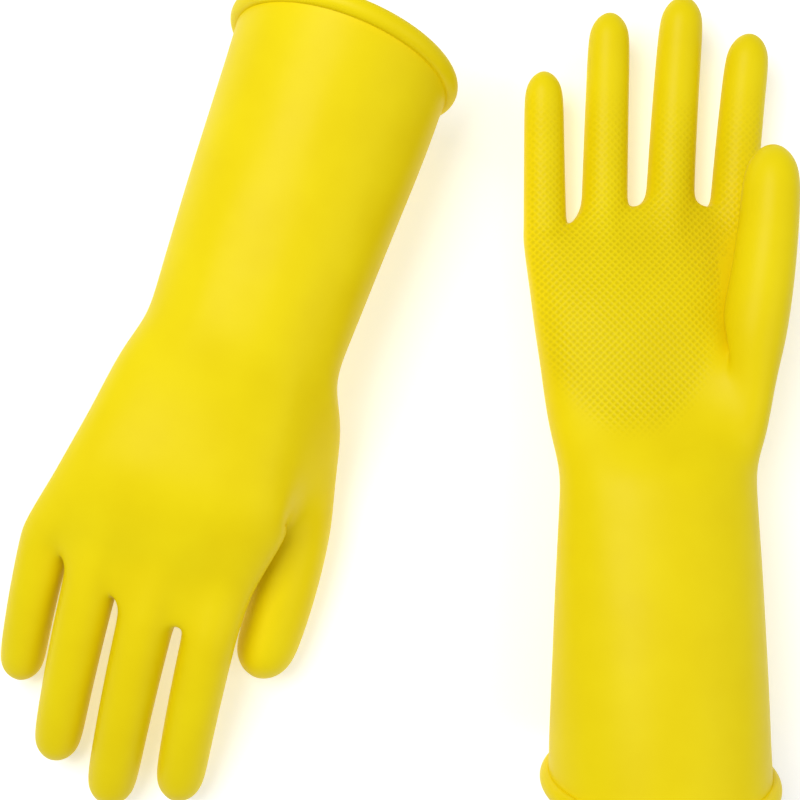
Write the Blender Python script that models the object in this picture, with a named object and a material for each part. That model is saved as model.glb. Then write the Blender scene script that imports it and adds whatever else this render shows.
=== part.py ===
"""A pair of household rubber gloves lying on a table: one palm up, one palm down.

Each glove is one dipped film of rubber with a rolled cuff. The film is divided here where the
rubber bends, so that every stretch between two bends is a solid of its own: a rolled bead, a
gauntlet, a hand, and a base and a tip for each of the five stalls.

A glove is laid out in its own frame: u runs towards the thumb, v from the cuff to the fingertips
and w out of the palm. Sizes are in millimetres and become metres when a mesh is made.
"""

import math
from dataclasses import dataclass

import bmesh
import bpy
from mathutils import Matrix, Vector

MILLIMETRE = 0.001

# Driving dimensions, in millimetres
WALL = 0.6                    # thickness of the rubber film
SLIT = 0.7                    # free gap between two solids at a bend
BEAD_RADIUS = 2.9             # rolled edge of the cuff
BEAD_GAP = 0.3                # between the bead and the end of the gauntlet
CUFF_HALF_WIDTH = 41.3
CUFF_HALF_DEPTH = 35.5
WRIST_HALF_WIDTH = 36.3
WRIST_HALF_DEPTH = 23.0
CROTCH_REACH = 166.5          # cuff to the thumb's crotch
KNUCKLE_REACH = 201.0         # cuff to the last row before the webs
PALM_HALF_WIDTH = 41.0        # at the crotch, without the thumb
PALM_HALF_DEPTH = 18.5
PALM_CENTRE = -4.5            # the palm's middle line lies away from the thumb
KNUCKLE_HALF_DEPTH = 14.4
THUMB_ROOT_TURN = -42.0       # the thumb's inner side faces the edge of the palm, degrees
BEAD_SIDES = 8
PATH_STEPS = 24               # short straight steps that a stall's curved middle line is made of

# Columns of a stall's ring, as angles from the thumb side towards the palm side, in degrees
PALM_SIDE = (135.0, 105.0, 75.0, 45.0)
THUMB_SIDE = (15.0, -15.0)
BACK_SIDE = (-45.0, -75.0, -105.0, -135.0)
LITTLE_SIDE = (-165.0, 165.0)
RING_ANGLES = PALM_SIDE + THUMB_SIDE + BACK_SIDE + LITTLE_SIDE

FINGERS = ("little", "ring", "middle", "index")
DIGITS = FINGERS + ("thumb",)
COLUMNS = 4 * len(DIGITS) * 2 + 4


@dataclass(frozen=True)
class Stall:
    """The sizes of one finger stall: root and tip half width and depth, and its two bends."""

    length: float
    root_width: float
    root_depth: float
    tip_width: float
    tip_depth: float
    base_bend: float
    tip_bend: float


STALLS = {
    "little": Stall(61.0, 8.9, 8.8, 8.0, 7.6, 8.0, 28.0),
    "ring": Stall(76.5, 9.5, 9.8, 8.5, 8.2, 8.0, 35.0),
    "middle": Stall(80.5, 9.9, 10.2, 8.9, 8.6, 8.0, 37.0),
    "index": Stall(69.5, 9.5, 10.0, 8.8, 8.4, 8.0, 33.0),
    "thumb": Stall(71.5, 13.2, 12.6, 11.2, 10.4, 14.0, 40.0),
}


@dataclass(frozen=True)
class Root:
    """Where a stall starts, and how it lies: the turn towards the thumb and the rise, in degrees."""

    u: float
    v: float
    height: float
    turn: tuple
    rise: tuple
    stretch: float = 1.0


@dataclass(frozen=True)
class Posture:
    """How one glove lies: which way the palm faces, its place, and the heights of its rows."""

    palm: int
    place: tuple
    heading: float
    fullness: float
    cuff_height: float
    cuff_lean: float
    cuff_shift: float
    wrist_reach: float
    wrist_height: float
    crotch_height: float
    knuckle_height: float
    roots: dict


POSTURES = {
    "palm_up": Posture(
        palm=1,
        place=(97.0, -134.2),
        heading=0.0,
        fullness=0.98,
        cuff_height=38.9,
        cuff_lean=8.5,
        cuff_shift=0.0,
        wrist_reach=111.5,
        wrist_height=36.0,
        crotch_height=22.5,
        knuckle_height=15.4,
        roots={
            "little": Root(-40.0, 204.0, 13.5, (-1.0, -1.5), (2.0, 14.0)),
            "ring": Root(-17.0, 211.5, 14.0, (1.0, 0.5), (1.0, 12.0), 0.99),
            "middle": Root(8.4, 214.5, 14.2, (2.5, 3.0), (0.0, 12.0), 0.98),
            "index": Root(32.9, 211.2, 14.4, (3.5, 4.5), (2.0, 12.0), 0.98),
            "thumb": Root(33.8, 162.5, 42.0, (9.5, 1.0), (8.0, -2.0), 0.98),
        },
    ),
    "palm_down": Posture(
        palm=-1,
        place=(-20.1, 128.6),
        heading=160.5,
        fullness=1.13,
        cuff_height=38.9,
        cuff_lean=10.0,
        cuff_shift=-1.2,
        wrist_reach=112.0,
        wrist_height=44.5,
        crotch_height=41.5,
        knuckle_height=34.0,
        roots={
            "little": Root(-47.3, 205.0, 30.0, (3.0, 4.5), (-12.0, -30.0), 1.02),
            "ring": Root(-25.8, 213.0, 32.5, (4.0, 5.0), (-9.0, -26.0), 1.03),
            "middle": Root(-1.4, 218.0, 33.5, (4.5, 5.8), (-9.0, -25.0), 1.03),
            "index": Root(23.0, 216.0, 33.0, (5.0, 7.2), (-10.0, -27.0), 1.08),
            "thumb": Root(38.7, 167.5, 18.5, (12.0, -2.5), (-6.0, -5.0), 0.90),
        },
    ),
}

# Rises between the wrist and the crotch, and between the crotch and the webs, as shares
LOWER_PALM_ROWS = ((0.24, 0.46, 2), (0.49, 0.82, 5), (0.74, 0.97, 4))
UPPER_PALM_ROWS = ((0.37, 0.33, 0.0), (0.74, 0.72, 0.15), (1.0, 1.0, 0.45))
GAUNTLET_ROWS = (0.0, 0.19, 0.43, 0.67, 0.88)

MATERIALS = {
    "rubber": ((0.90, 0.70, 0.01, 1.0), 0.42),
    "bead": ((0.86, 0.66, 0.01, 1.0), 0.40),
}


def mix(start, end, share):
    """The value a share of the way from start to end."""
    return start + (end - start) * share


def ease(share):
    """A share that starts and stops gently."""
    return share * share * (3.0 - 2.0 * share)


class Film:
    """The rubber film of one glove, as points and four-sided faces under segment names."""

    def __init__(self):
        self.points = []
        self.faces = {}

    def add(self, points):
        """Adds points and returns their numbers."""
        first = len(self.points)
        self.points.extend(Vector(p) for p in points)
        return list(range(first, len(self.points)))

    def face(self, segment, corners):
        """Adds one face to a segment."""
        self.faces.setdefault(segment, []).append(tuple(corners))

    def wrap(self, segment, near, far):
        """Joins two rings of equal size with a belt of faces; far lies towards the fingertips."""
        for k in range(len(near)):
            n = (k + 1) % len(near)
            self.face(segment, (near[k], near[n], far[n], far[k]))

    def web(self, segment, left, right):
        """Closes the film between the facing sides of two neighbouring stalls."""
        for k in range(len(left) - 1):
            self.face(segment, (left[k], right[k], right[k + 1], left[k + 1]))

    def cap(self, segment, ring, inner):
        """Closes a stall's last ring with nine faces around four inner points."""
        palm, thumb, back, little = ring[0:4], ring[4:6], ring[6:10], ring[10:12]
        rows = (
            palm,
            [little[1], inner[0], inner[1], thumb[0]],
            [little[0], inner[2], inner[3], thumb[1]],
            list(reversed(back)),
        )
        for upper, lower in zip(rows, rows[1:]):
            for k in range(3):
                self.face(segment, (upper[k], upper[k + 1], lower[k + 1], lower[k]))


class Layout:
    """Works out where the rings of one glove's film lie."""

    def __init__(self, posture):
        self.posture = posture
        self.palm = posture.palm
        self.palm_half_width = PALM_HALF_WIDTH * (1.0 + posture.fullness) / 2.0

    def world(self, u, v, w, height):
        """A point of the glove's own frame, with the table at height zero."""
        return Vector((self.palm * u, v, height + self.palm * w))

    def oval(self, column, half_width, half_depth):
        """The (u, w) of a column on a plain oval, counted from the little finger's side."""
        step = 360.0 / COLUMNS
        angle = math.radians(180.0 - step * (column + 1.5))
        return half_width * math.cos(angle), half_depth * math.sin(angle)

    def gauntlet_ring(self, share, shift=0.0):
        """A ring of the gauntlet, a share of the way from the cuff to the wrist."""
        width = mix(CUFF_HALF_WIDTH, WRIST_HALF_WIDTH, share ** 1.25)
        depth = mix(CUFF_HALF_DEPTH, WRIST_HALF_DEPTH, share ** 1.15)
        height = mix(self.posture.cuff_height, self.posture.wrist_height, ease(share))
        lean = self.posture.cuff_lean * (1.0 - share) ** 2
        ring = []
        for column in range(COLUMNS):
            u, w = self.oval(column, width, depth)
            u += self.posture.cuff_shift * (1.0 - share)
            v = share * self.posture.wrist_reach + shift + lean * -self.palm * w / depth
            ring.append(self.world(u, v, w, height))
        return ring

    def stall_frame(self, digit, distance):
        """The centre, the direction and the two cross directions of a stall at a distance."""
        root = self.posture.roots[digit]
        length = STALLS[digit].length
        centre = self.world(root.u, root.v, 0.0, root.height)
        step = distance / PATH_STEPS
        for k in range(PATH_STEPS):
            centre += self.direction(root, (k + 0.5) * step / length) * step * root.stretch
        along = self.direction(root, distance / length)
        up = Vector((0.0, 0.0, 1.0))
        up = (up - along * up.dot(along)).normalized()
        palm = up * self.palm
        thumb = along.cross(up) * self.palm
        if digit == "thumb":
            turn = Matrix.Rotation(math.radians(THUMB_ROOT_TURN), 3, along)
            palm = turn @ palm
            thumb = turn @ thumb
        return centre, along, thumb, palm

    def direction(self, root, share):
        """The unit direction of a stall, a share of the way along it."""
        turn = math.radians(mix(root.turn[0], root.turn[1], share))
        rise = math.radians(mix(root.rise[0], root.rise[1], share))
        flat = math.cos(rise)
        return Vector((self.palm * math.sin(turn) * flat, math.cos(turn) * flat, math.sin(rise)))

    def stall_size(self, digit, distance):
        """The half width and half depth of a stall at a distance from its root."""
        stall = STALLS[digit]
        round_end = 1.25 * stall.tip_width
        share = min(distance / (stall.length - round_end), 1.0)
        width = mix(stall.root_width, stall.tip_width, share)
        depth = mix(stall.root_depth, stall.tip_depth, share)
        left = max(stall.length - distance, 0.0) / round_end
        if left < 1.0:
            squeeze = math.sqrt(max(1.0 - (1.0 - left) ** 2, 0.0))
            width *= squeeze
            depth *= squeeze
        return width * self.posture.fullness, depth * self.posture.fullness

    def stall_ring(self, digit, distance):
        """The twelve points around a stall at a distance from its root."""
        centre, _, thumb, palm = self.stall_frame(digit, distance)
        width, depth = self.stall_size(digit, distance)
        ring = []
        for angle in RING_ANGLES:
            a = math.radians(angle)
            ring.append(centre + thumb * width * math.cos(a) + palm * depth * math.sin(a))
        return ring

    def stall_cap(self, digit):
        """The four points inside the last ring of a stall."""
        centre, _, thumb, palm = self.stall_frame(digit, STALLS[digit].length)
        reach = 0.16 * STALLS[digit].tip_width
        signs = ((-1, 1), (1, 1), (-1, -1), (1, -1))
        return [centre + thumb * reach * a + palm * reach * b for a, b in signs]

    def palm_ring(self, v, centre, half_width, half_depth, height):
        """The 36 columns of the palm without the thumb, spread as the four stalls are."""
        low = self.posture.roots["little"].u - STALLS["little"].root_width
        high = self.posture.roots["index"].u + STALLS["index"].root_width
        middle, half = (low + high) / 2.0, (high - low) / 2.0
        palm_row, back_row = [], []
        for digit in FINGERS:
            root = self.posture.roots[digit]
            for angle in PALM_SIDE:
                offset = STALLS[digit].root_width * math.cos(math.radians(angle))
                share = max(-0.97, min(0.97, (root.u + offset - middle) / half))
                u = centre + half_width * share
                w = half_depth * (1.0 - abs(share) ** 2.5) ** 0.4
                palm_row.append(self.world(u, v, w, height))
                back_row.append(self.world(u, v, -w, height))
        side = 0.26 * half_depth
        thumb_side = [self.world(centre + half_width, v, s * side, height) for s in (1, -1)]
        little_side = [self.world(centre - half_width, v, s * side, height) for s in (-1, 1)]
        return palm_row + thumb_side + list(reversed(back_row)) + little_side

    def crotch_ring(self):
        """The 44 columns where the thumb leaves the palm, then the four points between them."""
        palm = self.palm_ring(
            CROTCH_REACH,
            PALM_CENTRE,
            self.palm_half_width,
            PALM_HALF_DEPTH,
            self.posture.crotch_height,
        )
        thumb = self.stall_ring("thumb", 0.0)
        outer = palm[0:16] + thumb[0:10] + palm[18:34] + palm[34:36]
        return outer, palm[16:18], thumb[10:12]


def evened(ring, passes):
    """The ring with its dents filled, each point moved towards the middle of its neighbours."""
    for _ in range(passes):
        count = len(ring)
        ring = [
            (ring[k - 1] + ring[k] * 2.0 + ring[(k + 1) % count]) / 4.0 for k in range(count)
        ]
    return ring


def whole_film(posture):
    """The film of one glove, without the slits' faces, under its segments' names."""
    film = Film()
    layout = Layout(posture)
    slit = SLIT / 2.0

    rows = [film.add(layout.gauntlet_ring(share)) for share in GAUNTLET_ROWS]
    rows.append(film.add(layout.gauntlet_ring(1.0, -slit)))
    for near, far in zip(rows, rows[1:]):
        film.wrap("gauntlet", near, far)

    wrist = layout.gauntlet_ring(1.0, slit)
    crotch, index_side, thumb_side = layout.crotch_ring()
    rows = [film.add(wrist)]
    for share, spread, passes in LOWER_PALM_ROWS:
        ring = [mix(low, high, spread) for low, high in zip(wrist, crotch)]
        ring = evened(ring, passes)
        for point, low, high in zip(ring, wrist, crotch):
            point.y = mix(low.y, high.y, share)
        rows.append(film.add(ring))
    rows.append(film.add(crotch))
    for near, far in zip(rows, rows[1:]):
        film.wrap("hand", near, far)

    top = rows[-1]
    index_side = film.add(index_side)
    thumb_side = film.add(thumb_side)
    palm_edge = [top[15]] + index_side + [top[26]]
    film.web("hand", palm_edge, [top[16], thumb_side[1], thumb_side[0], top[25]])
    near = top[0:16] + index_side + top[26:42] + top[42:44]
    thumb_ring = top[16:26] + thumb_side

    near = grow_upper_palm(film, layout, near)
    rings = split_fingers(film, layout, near)
    rings["thumb"] = thumb_ring
    for digit in DIGITS:
        grow_stall(film, layout, digit, rings[digit])
    return film, layout


def grow_upper_palm(film, layout, near):
    """Adds the rows between the thumb's crotch and the webs, and returns the last one."""
    posture = layout.posture
    low = posture.roots["little"].u - STALLS["little"].root_width
    high = posture.roots["index"].u + STALLS["index"].root_width
    roots = finger_roots(layout)
    for share, spread, lobes in UPPER_PALM_ROWS:
        ring = layout.palm_ring(
            mix(CROTCH_REACH, KNUCKLE_REACH, share),
            mix(PALM_CENTRE, (low + high) / 2.0, spread),
            mix(layout.palm_half_width, (high - low) / 2.0, spread),
            mix(PALM_HALF_DEPTH, KNUCKLE_HALF_DEPTH, share),
            mix(posture.crotch_height, posture.knuckle_height, spread),
        )
        shaped = []
        for point, root in zip(ring, roots):
            lobed = point.copy()
            lobed.x = mix(point.x, root.x, lobes)
            lobed.z = mix(point.z, root.z, lobes)
            shaped.append(lobed)
        far = film.add(shaped)
        film.wrap("hand", near, far)
        near = far
    return near


def finger_roots(layout):
    """The 36 outer points of the four stalls' first rings, in the palm's column order."""
    rings = [layout.stall_ring(digit, 0.0) for digit in FINGERS]
    palm = [p for ring in rings for p in ring[0:4]]
    back = [p for ring in reversed(rings) for p in ring[6:10]]
    return palm + rings[-1][4:6] + back + rings[0][10:12]


def split_fingers(film, layout, near):
    """Adds the first ring of each stall and the webs between them, and returns the rings."""
    far = film.add(finger_roots(layout))
    film.wrap("hand", near, far)
    rings = {}
    for k, digit in enumerate(FINGERS):
        points = layout.stall_ring(digit, 0.0)
        palm = far[4 * k:4 * k + 4]
        back = far[30 - 4 * k:34 - 4 * k]
        thumb_side = far[16:18] if digit == "index" else film.add(points[4:6])
        little_side = far[34:36] if digit == "little" else film.add(points[10:12])
        rings[digit] = palm + thumb_side + back + little_side
    for left, right in zip(FINGERS, FINGERS[1:]):
        a, b = rings[left], rings[right]
        film.web("hand", a[3:7], [b[0], b[11], b[10], b[9]])
    return rings


def grow_stall(film, layout, digit, root_ring):
    """Adds a stall to its root ring: a stub on the hand, then the base and the tip solids."""
    stall = STALLS[digit]
    slit = SLIT / 2.0
    round_end = 1.25 * stall.tip_width
    base_middle = (stall.base_bend + stall.tip_bend) / 2.0
    tip_middle = (stall.tip_bend + stall.length - round_end) / 2.0
    stretches = (
        ("hand", (stall.base_bend - slit,)),
        (digit + "_base", (stall.base_bend + slit, base_middle, stall.tip_bend - slit)),
        (digit + "_tip", (
            stall.tip_bend + slit,
            tip_middle,
            stall.length - round_end,
            stall.length - 0.5 * round_end,
            stall.length - 0.14 * round_end,
        )),
    )
    near = root_ring
    for segment, distances in stretches:
        for k, distance in enumerate(distances):
            far = film.add(layout.stall_ring(digit, distance))
            if segment == "hand" or k > 0:
                film.wrap(segment, near, far)
            near = far
    film.cap(digit + "_tip", near, film.add(layout.stall_cap(digit)))


def bend_places(layout):
    """The pivot and the axis of each bend: every solid swings up, and the thumb's base outwards."""
    up = Vector((0.0, 0.0, 1.0))
    places = {}
    wrist = layout.gauntlet_ring(1.0)
    top = max(wrist, key=lambda p: p.z)
    wrist_line = layout.posture.wrist_reach
    places["hand"] = (Vector((0.0, wrist_line, top.z)), Vector((1.0, 0.0, 0.0)))
    for digit in DIGITS:
        for part, distance in (("base", STALLS[digit].base_bend), ("tip", STALLS[digit].tip_bend)):
            centre, along, _, _ = layout.stall_frame(digit, distance)
            outwards = digit == "thumb"
            towards = Vector((layout.palm, 0.0, 0.0)) if outwards else up
            towards = (towards - along * towards.dot(along)).normalized()
            reach = max((p - centre).dot(towards) for p in layout.stall_ring(digit, distance))
            places[f"{digit}_{part}"] = (centre + towards * reach, along.cross(towards))
    return places


def rubber(name):
    """A Principled material with its colour and roughness."""
    colour, roughness = MATERIALS[name]
    material = bpy.data.materials.new(name)
    material.use_nodes = True
    shader = material.node_tree.nodes["Principled BSDF"]
    shader.inputs["Base Color"].default_value = colour
    shader.inputs["Roughness"].default_value = roughness
    shader.inputs["Metallic"].default_value = 0.0
    material.diffuse_color = colour
    return material


def make_object(name, points, faces, pivot, holder, material):
    """An object whose origin is its pivot, from points and faces in the glove's frame."""
    used = sorted({k for face in faces for k in face})
    number = {k: n for n, k in enumerate(used)}
    mesh = bpy.data.meshes.new(name)
    mesh.from_pydata(
        [(points[k] - pivot) * MILLIMETRE for k in used],
        [],
        [[number[k] for k in face] for face in faces],
    )
    mesh.materials.append(material)
    obj = bpy.data.objects.new(name, mesh)
    bpy.context.scene.collection.objects.link(obj)
    obj.parent = holder
    obj.location = pivot * MILLIMETRE
    return obj


def settle(film):
    """Moves the film's points onto the smooth surface that its faces stand for."""
    mesh = bpy.data.meshes.new("film")
    faces = [face for group in film.faces.values() for face in group]
    mesh.from_pydata([p * MILLIMETRE for p in film.points], [], faces)
    obj = bpy.data.objects.new("film", mesh)
    bpy.context.scene.collection.objects.link(obj)
    smooth = obj.modifiers.new("smooth", "SUBSURF")
    smooth.levels = 1
    smooth.render_levels = 1
    smooth.use_limit_surface = True
    shown = obj.evaluated_get(bpy.context.evaluated_depsgraph_get()).to_mesh()
    settled = [shown.vertices[k].co / MILLIMETRE for k in range(len(film.points))]
    obj.to_mesh_clear()
    bpy.data.objects.remove(obj)
    bpy.data.meshes.remove(mesh)
    return settled


def thicken(obj):
    """Gives the film its wall, inwards, so that the outer size stays."""
    wall = obj.modifiers.new("wall", "SOLIDIFY")
    wall.thickness = WALL * MILLIMETRE
    wall.offset = -1.0
    wall.use_even_offset = True
    wall.use_quality_normals = True


def bead(name, rim, holder, material):
    """The rolled edge: a round section swept around the gauntlet's first ring."""
    count = len(rim)
    middle = sum(rim, Vector()) / count
    points = []
    for k in range(count):
        side = rim[(k + 1) % count] - rim[k - 1]
        out = Vector((side.z, 0.0, -side.x)).normalized()
        if out.dot(rim[k] - middle) < 0.0:
            out = -out
        centre = rim[k] + out * 0.4 - Vector((0.0, BEAD_RADIUS + BEAD_GAP, 0.0))
        for n in range(BEAD_SIDES):
            angle = 2.0 * math.pi * (n + 0.5) / BEAD_SIDES
            points.append(
                centre
                + out * BEAD_RADIUS * math.cos(angle)
                + Vector((0.0, BEAD_RADIUS * math.sin(angle), 0.0))
            )
    faces = []
    for k in range(count):
        for n in range(BEAD_SIDES):
            a, b = k * BEAD_SIDES, ((k + 1) % count) * BEAD_SIDES
            m = (n + 1) % BEAD_SIDES
            faces.append((a + n, a + m, b + m, b + n))
    obj = make_object(name, points, faces, middle, holder, material)
    tidy = bmesh.new()
    tidy.from_mesh(obj.data)
    bmesh.ops.recalc_face_normals(tidy, faces=tidy.faces)
    tidy.to_mesh(obj.data)
    tidy.free()
    return obj


def glove(name, posture, materials):
    """Builds one glove under an empty of its own."""
    holder = bpy.data.objects.new(name + "_glove", None)
    bpy.context.scene.collection.objects.link(holder)
    holder.rotation_euler = (0.0, 0.0, math.radians(posture.heading))
    holder.location = Vector((*posture.place, 0.0)) * MILLIMETRE
    film, layout = whole_film(posture)
    points = settle(film)
    places = bend_places(layout)
    solids = []
    for segment, faces in film.faces.items():
        rest = Vector((0.0, 0.0, posture.cuff_height))
        pivot = places[segment][0] if segment in places else rest
        obj = make_object(f"{name}_{segment}", points, faces, pivot, holder, materials["rubber"])
        thicken(obj)
        solids.append(obj)
    rim = points[0:COLUMNS]
    solids.append(bead(name + "_cuff_bead", rim, holder, materials["bead"]))
    return solids


def rest_on_table(solids):
    """Moves the gloves so that their common box is centred over the origin and stands on it."""
    bpy.context.view_layer.update()
    graph = bpy.context.evaluated_depsgraph_get()
    low, high = Vector((1e9,) * 3), Vector((-1e9,) * 3)
    for obj in solids:
        shown = obj.evaluated_get(graph)
        mesh = shown.to_mesh()
        for vertex in mesh.vertices:
            place = obj.matrix_world @ vertex.co
            low = Vector(map(min, low, place))
            high = Vector(map(max, high, place))
        shown.to_mesh_clear()
    shift = Vector((-(low.x + high.x) / 2.0, -(low.y + high.y) / 2.0, -low.z))
    for holder in {obj.parent for obj in solids}:
        holder.location += shift


def main():
    """Builds both gloves and rests them on the table."""
    for obj in list(bpy.data.objects):
        bpy.data.objects.remove(obj)
    materials = {name: rubber(name) for name in MATERIALS}
    solids = []
    for name, posture in POSTURES.items():
        solids += glove(name, posture, materials)
    rest_on_table(solids)
    bpy.context.view_layer.update()


main()
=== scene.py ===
"""Looks of a pair of household rubber gloves lying on a table, one palm up and one palm down.

Each glove is one sheet of dipped rubber with a rolled cuff. The sheet is drawn ring by ring, from
the cuff to the fingertips, smoothed, given its wall and its lining, and then divided where it
bends. The sleeve and the rolled edge follow the gauntlet's body; the other pieces stay in place.

A glove is laid out in its own frame, in millimetres: u runs towards the thumb, v from the cuff to
the fingertips and w out of the palm.
"""

import logging
import math
from dataclasses import dataclass, field
from enum import Enum

import bmesh
import bpy
import numpy as np
from mathutils import Matrix, Vector, noise

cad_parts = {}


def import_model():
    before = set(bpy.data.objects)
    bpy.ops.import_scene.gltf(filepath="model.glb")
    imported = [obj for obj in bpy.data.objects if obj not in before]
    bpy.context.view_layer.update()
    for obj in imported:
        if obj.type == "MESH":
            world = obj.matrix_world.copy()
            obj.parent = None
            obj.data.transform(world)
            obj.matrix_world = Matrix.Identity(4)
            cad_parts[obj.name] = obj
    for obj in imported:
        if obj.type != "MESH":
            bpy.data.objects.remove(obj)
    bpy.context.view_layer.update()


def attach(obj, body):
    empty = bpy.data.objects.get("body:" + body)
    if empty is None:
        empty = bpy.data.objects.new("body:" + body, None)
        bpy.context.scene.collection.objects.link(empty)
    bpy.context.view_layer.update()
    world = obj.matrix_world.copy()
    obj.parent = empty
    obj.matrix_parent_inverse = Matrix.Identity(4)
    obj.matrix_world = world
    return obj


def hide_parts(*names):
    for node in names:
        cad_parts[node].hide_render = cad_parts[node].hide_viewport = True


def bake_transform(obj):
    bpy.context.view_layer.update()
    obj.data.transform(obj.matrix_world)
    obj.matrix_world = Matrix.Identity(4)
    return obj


log = logging.getLogger("rubber_gloves")

Blendable = float | Vector | np.ndarray
Colour = tuple[float, float, float]
Socket = bpy.types.NodeSocket

MM = 0.001
WALL = 0.6
COLUMNS = 44
CUFF_HALF_WIDTH = 41.3
CUFF_HALF_DEPTH = 35.5
WRIST_HALF_WIDTH = 36.3
WRIST_HALF_DEPTH = 23.0
CROTCH_REACH = 166.5
KNUCKLE_REACH = 201.0
PALM_HALF_WIDTH = 41.0
PALM_HALF_DEPTH = 18.5
PALM_CENTRE = -4.5
KNUCKLE_HALF_DEPTH = 14.4
THUMB_ROOT_TURN = -42.0
PATH_STEPS = 24
SMOOTHING_LEVELS = 3

PALM_SIDE = (135.0, 105.0, 75.0, 45.0)
THUMB_SIDE = (15.0, -15.0)
BACK_SIDE = (-45.0, -75.0, -105.0, -135.0)
LITTLE_SIDE = (-165.0, 165.0)
RING_ANGLES = PALM_SIDE + THUMB_SIDE + BACK_SIDE + LITTLE_SIDE
LOWER_PALM_ROWS = ((0.24, 0.46, 2), (0.49, 0.82, 5), (0.74, 0.97, 4))
DENT_PASSES = 24
UPPER_PALM_ROWS = ((0.37, 0.33, 0.0), (0.74, 0.72, 0.15), (1.0, 1.0, 0.45))
GAUNTLET_ROWS = (0.19, 0.43, 0.67, 0.88)
SIDE_LIMIT = 0.5
SKIN_RELIEF = 0.010
SWELL_RELIEF = 0.035


class Facing(Enum):
    """Which way a glove's palm looks as it lies on the table."""

    UP = 1
    DOWN = -1


class Finger(Enum):
    """The five stalls of a glove, named as on the hand."""

    LITTLE = "little"
    RING = "ring"
    MIDDLE = "middle"
    INDEX = "index"
    THUMB = "thumb"


ROW_FINGERS = (Finger.LITTLE, Finger.RING, Finger.MIDDLE, Finger.INDEX)


@dataclass(frozen=True)
class Stall:
    """The sizes of one finger stall, and how far from its root it bends."""

    length: float
    root_width: float
    root_depth: float
    tip_width: float
    tip_depth: float
    base_bend: float
    tip_bend: float


STALLS = {
    Finger.LITTLE: Stall(61.0, 8.9, 8.8, 8.0, 7.6, 8.0, 28.0),
    Finger.RING: Stall(76.5, 9.5, 9.8, 8.5, 8.2, 8.0, 35.0),
    Finger.MIDDLE: Stall(80.5, 9.9, 10.2, 8.9, 8.6, 8.0, 37.0),
    Finger.INDEX: Stall(69.5, 9.5, 10.0, 8.8, 8.4, 8.0, 33.0),
    Finger.THUMB: Stall(71.5, 13.2, 12.6, 11.2, 10.4, 14.0, 40.0),
}


@dataclass(frozen=True)
class Root:
    """Where a stall starts and how it lies: its turns to the thumb and its rises, in degrees."""

    u: float
    v: float
    height: float
    turn: tuple[float, float]
    rise: tuple[float, float]
    stretch: float = 1.0


@dataclass(frozen=True)
class Posture:
    """How one glove lies: which way the palm looks, its place, and the heights of its rows."""

    facing: Facing
    place: tuple[float, float, float]
    heading: float
    fullness: float
    cuff_height: float
    cuff_lean: float
    cuff_shift: float
    wrist_reach: float
    wrist_height: float
    crotch_height: float
    knuckle_height: float
    roots: dict[Finger, Root]


PALM_UP = Posture(
    facing=Facing.UP,
    place=(100.939, -136.653, -0.537),
    heading=0.0,
    fullness=0.98,
    cuff_height=38.9,
    cuff_lean=8.5,
    cuff_shift=0.0,
    wrist_reach=111.5,
    wrist_height=36.0,
    crotch_height=22.5,
    knuckle_height=15.4,
    roots={
        Finger.LITTLE: Root(-40.0, 204.0, 13.5, (-1.0, -1.5), (2.0, 14.0)),
        Finger.RING: Root(-17.0, 211.5, 14.0, (1.0, 0.5), (1.0, 12.0), 0.99),
        Finger.MIDDLE: Root(8.4, 214.5, 14.2, (2.5, 3.0), (0.0, 12.0), 0.98),
        Finger.INDEX: Root(32.9, 211.2, 14.4, (3.5, 4.5), (2.0, 12.0), 0.98),
        Finger.THUMB: Root(33.8, 162.5, 42.0, (9.5, 1.0), (8.0, -2.0), 0.98),
    },
)

PALM_DOWN = Posture(
    facing=Facing.DOWN,
    place=(-16.161, 126.147, -0.537),
    heading=160.5,
    fullness=1.13,
    cuff_height=38.9,
    cuff_lean=10.0,
    cuff_shift=-1.2,
    wrist_reach=112.0,
    wrist_height=44.5,
    crotch_height=41.5,
    knuckle_height=34.0,
    roots={
        Finger.LITTLE: Root(-47.3, 205.0, 30.0, (3.0, 4.5), (-12.0, -30.0), 1.02),
        Finger.RING: Root(-25.8, 213.0, 32.5, (4.0, 5.0), (-9.0, -26.0), 1.03),
        Finger.MIDDLE: Root(-1.4, 218.0, 33.5, (4.5, 5.8), (-9.0, -25.0), 1.03),
        Finger.INDEX: Root(23.0, 216.0, 33.0, (5.0, 7.2), (-10.0, -27.0), 1.08),
        Finger.THUMB: Root(38.7, 167.5, 18.5, (12.0, -2.5), (-6.0, -5.0), 0.90),
    },
)


def mix(start: Blendable, end: Blendable, share: float | np.ndarray) -> Blendable:
    """The value a share of the way from start to end."""
    return start + (end - start) * share


def ease(share: float) -> float:
    """A share that starts and stops gently."""
    return share * share * (3.0 - 2.0 * share)


def evened(ring: list[Vector], passes: int) -> list[Vector]:
    """The ring evened out, each point moved towards the middle of its neighbours."""
    count = len(ring)
    for _ in range(passes):
        ring = [
            (ring[k - 1] + ring[k] * 2.0 + ring[(k + 1) % count]) / 4.0 for k in range(count)
        ]
    return ring


def filled(ring: list[Vector], passes: int) -> list[Vector]:
    """The ring with its dents drawn out flat, where every point that bulges stays as it is.

    Args:
        ring: the points of a closed ring across the glove, in either direction.
        passes: how often every dent is drawn out.

    Returns:
        The points in the same order.
    """
    count = len(ring)
    area = sum(ring[k - 1].x * ring[k].z - ring[k].x * ring[k - 1].z for k in range(count))
    for _ in range(passes):
        drawn = []
        for k, point in enumerate(ring):
            before, after = ring[k - 1], ring[(k + 1) % count]
            middle = (before + after) / 2.0
            bulge = (point.x - before.x) * (after.z - point.z)
            bulge -= (point.z - before.z) * (after.x - point.x)
            drawn.append(point.copy() if bulge * area > 0.0 else middle)
        ring = drawn
    return ring


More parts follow.
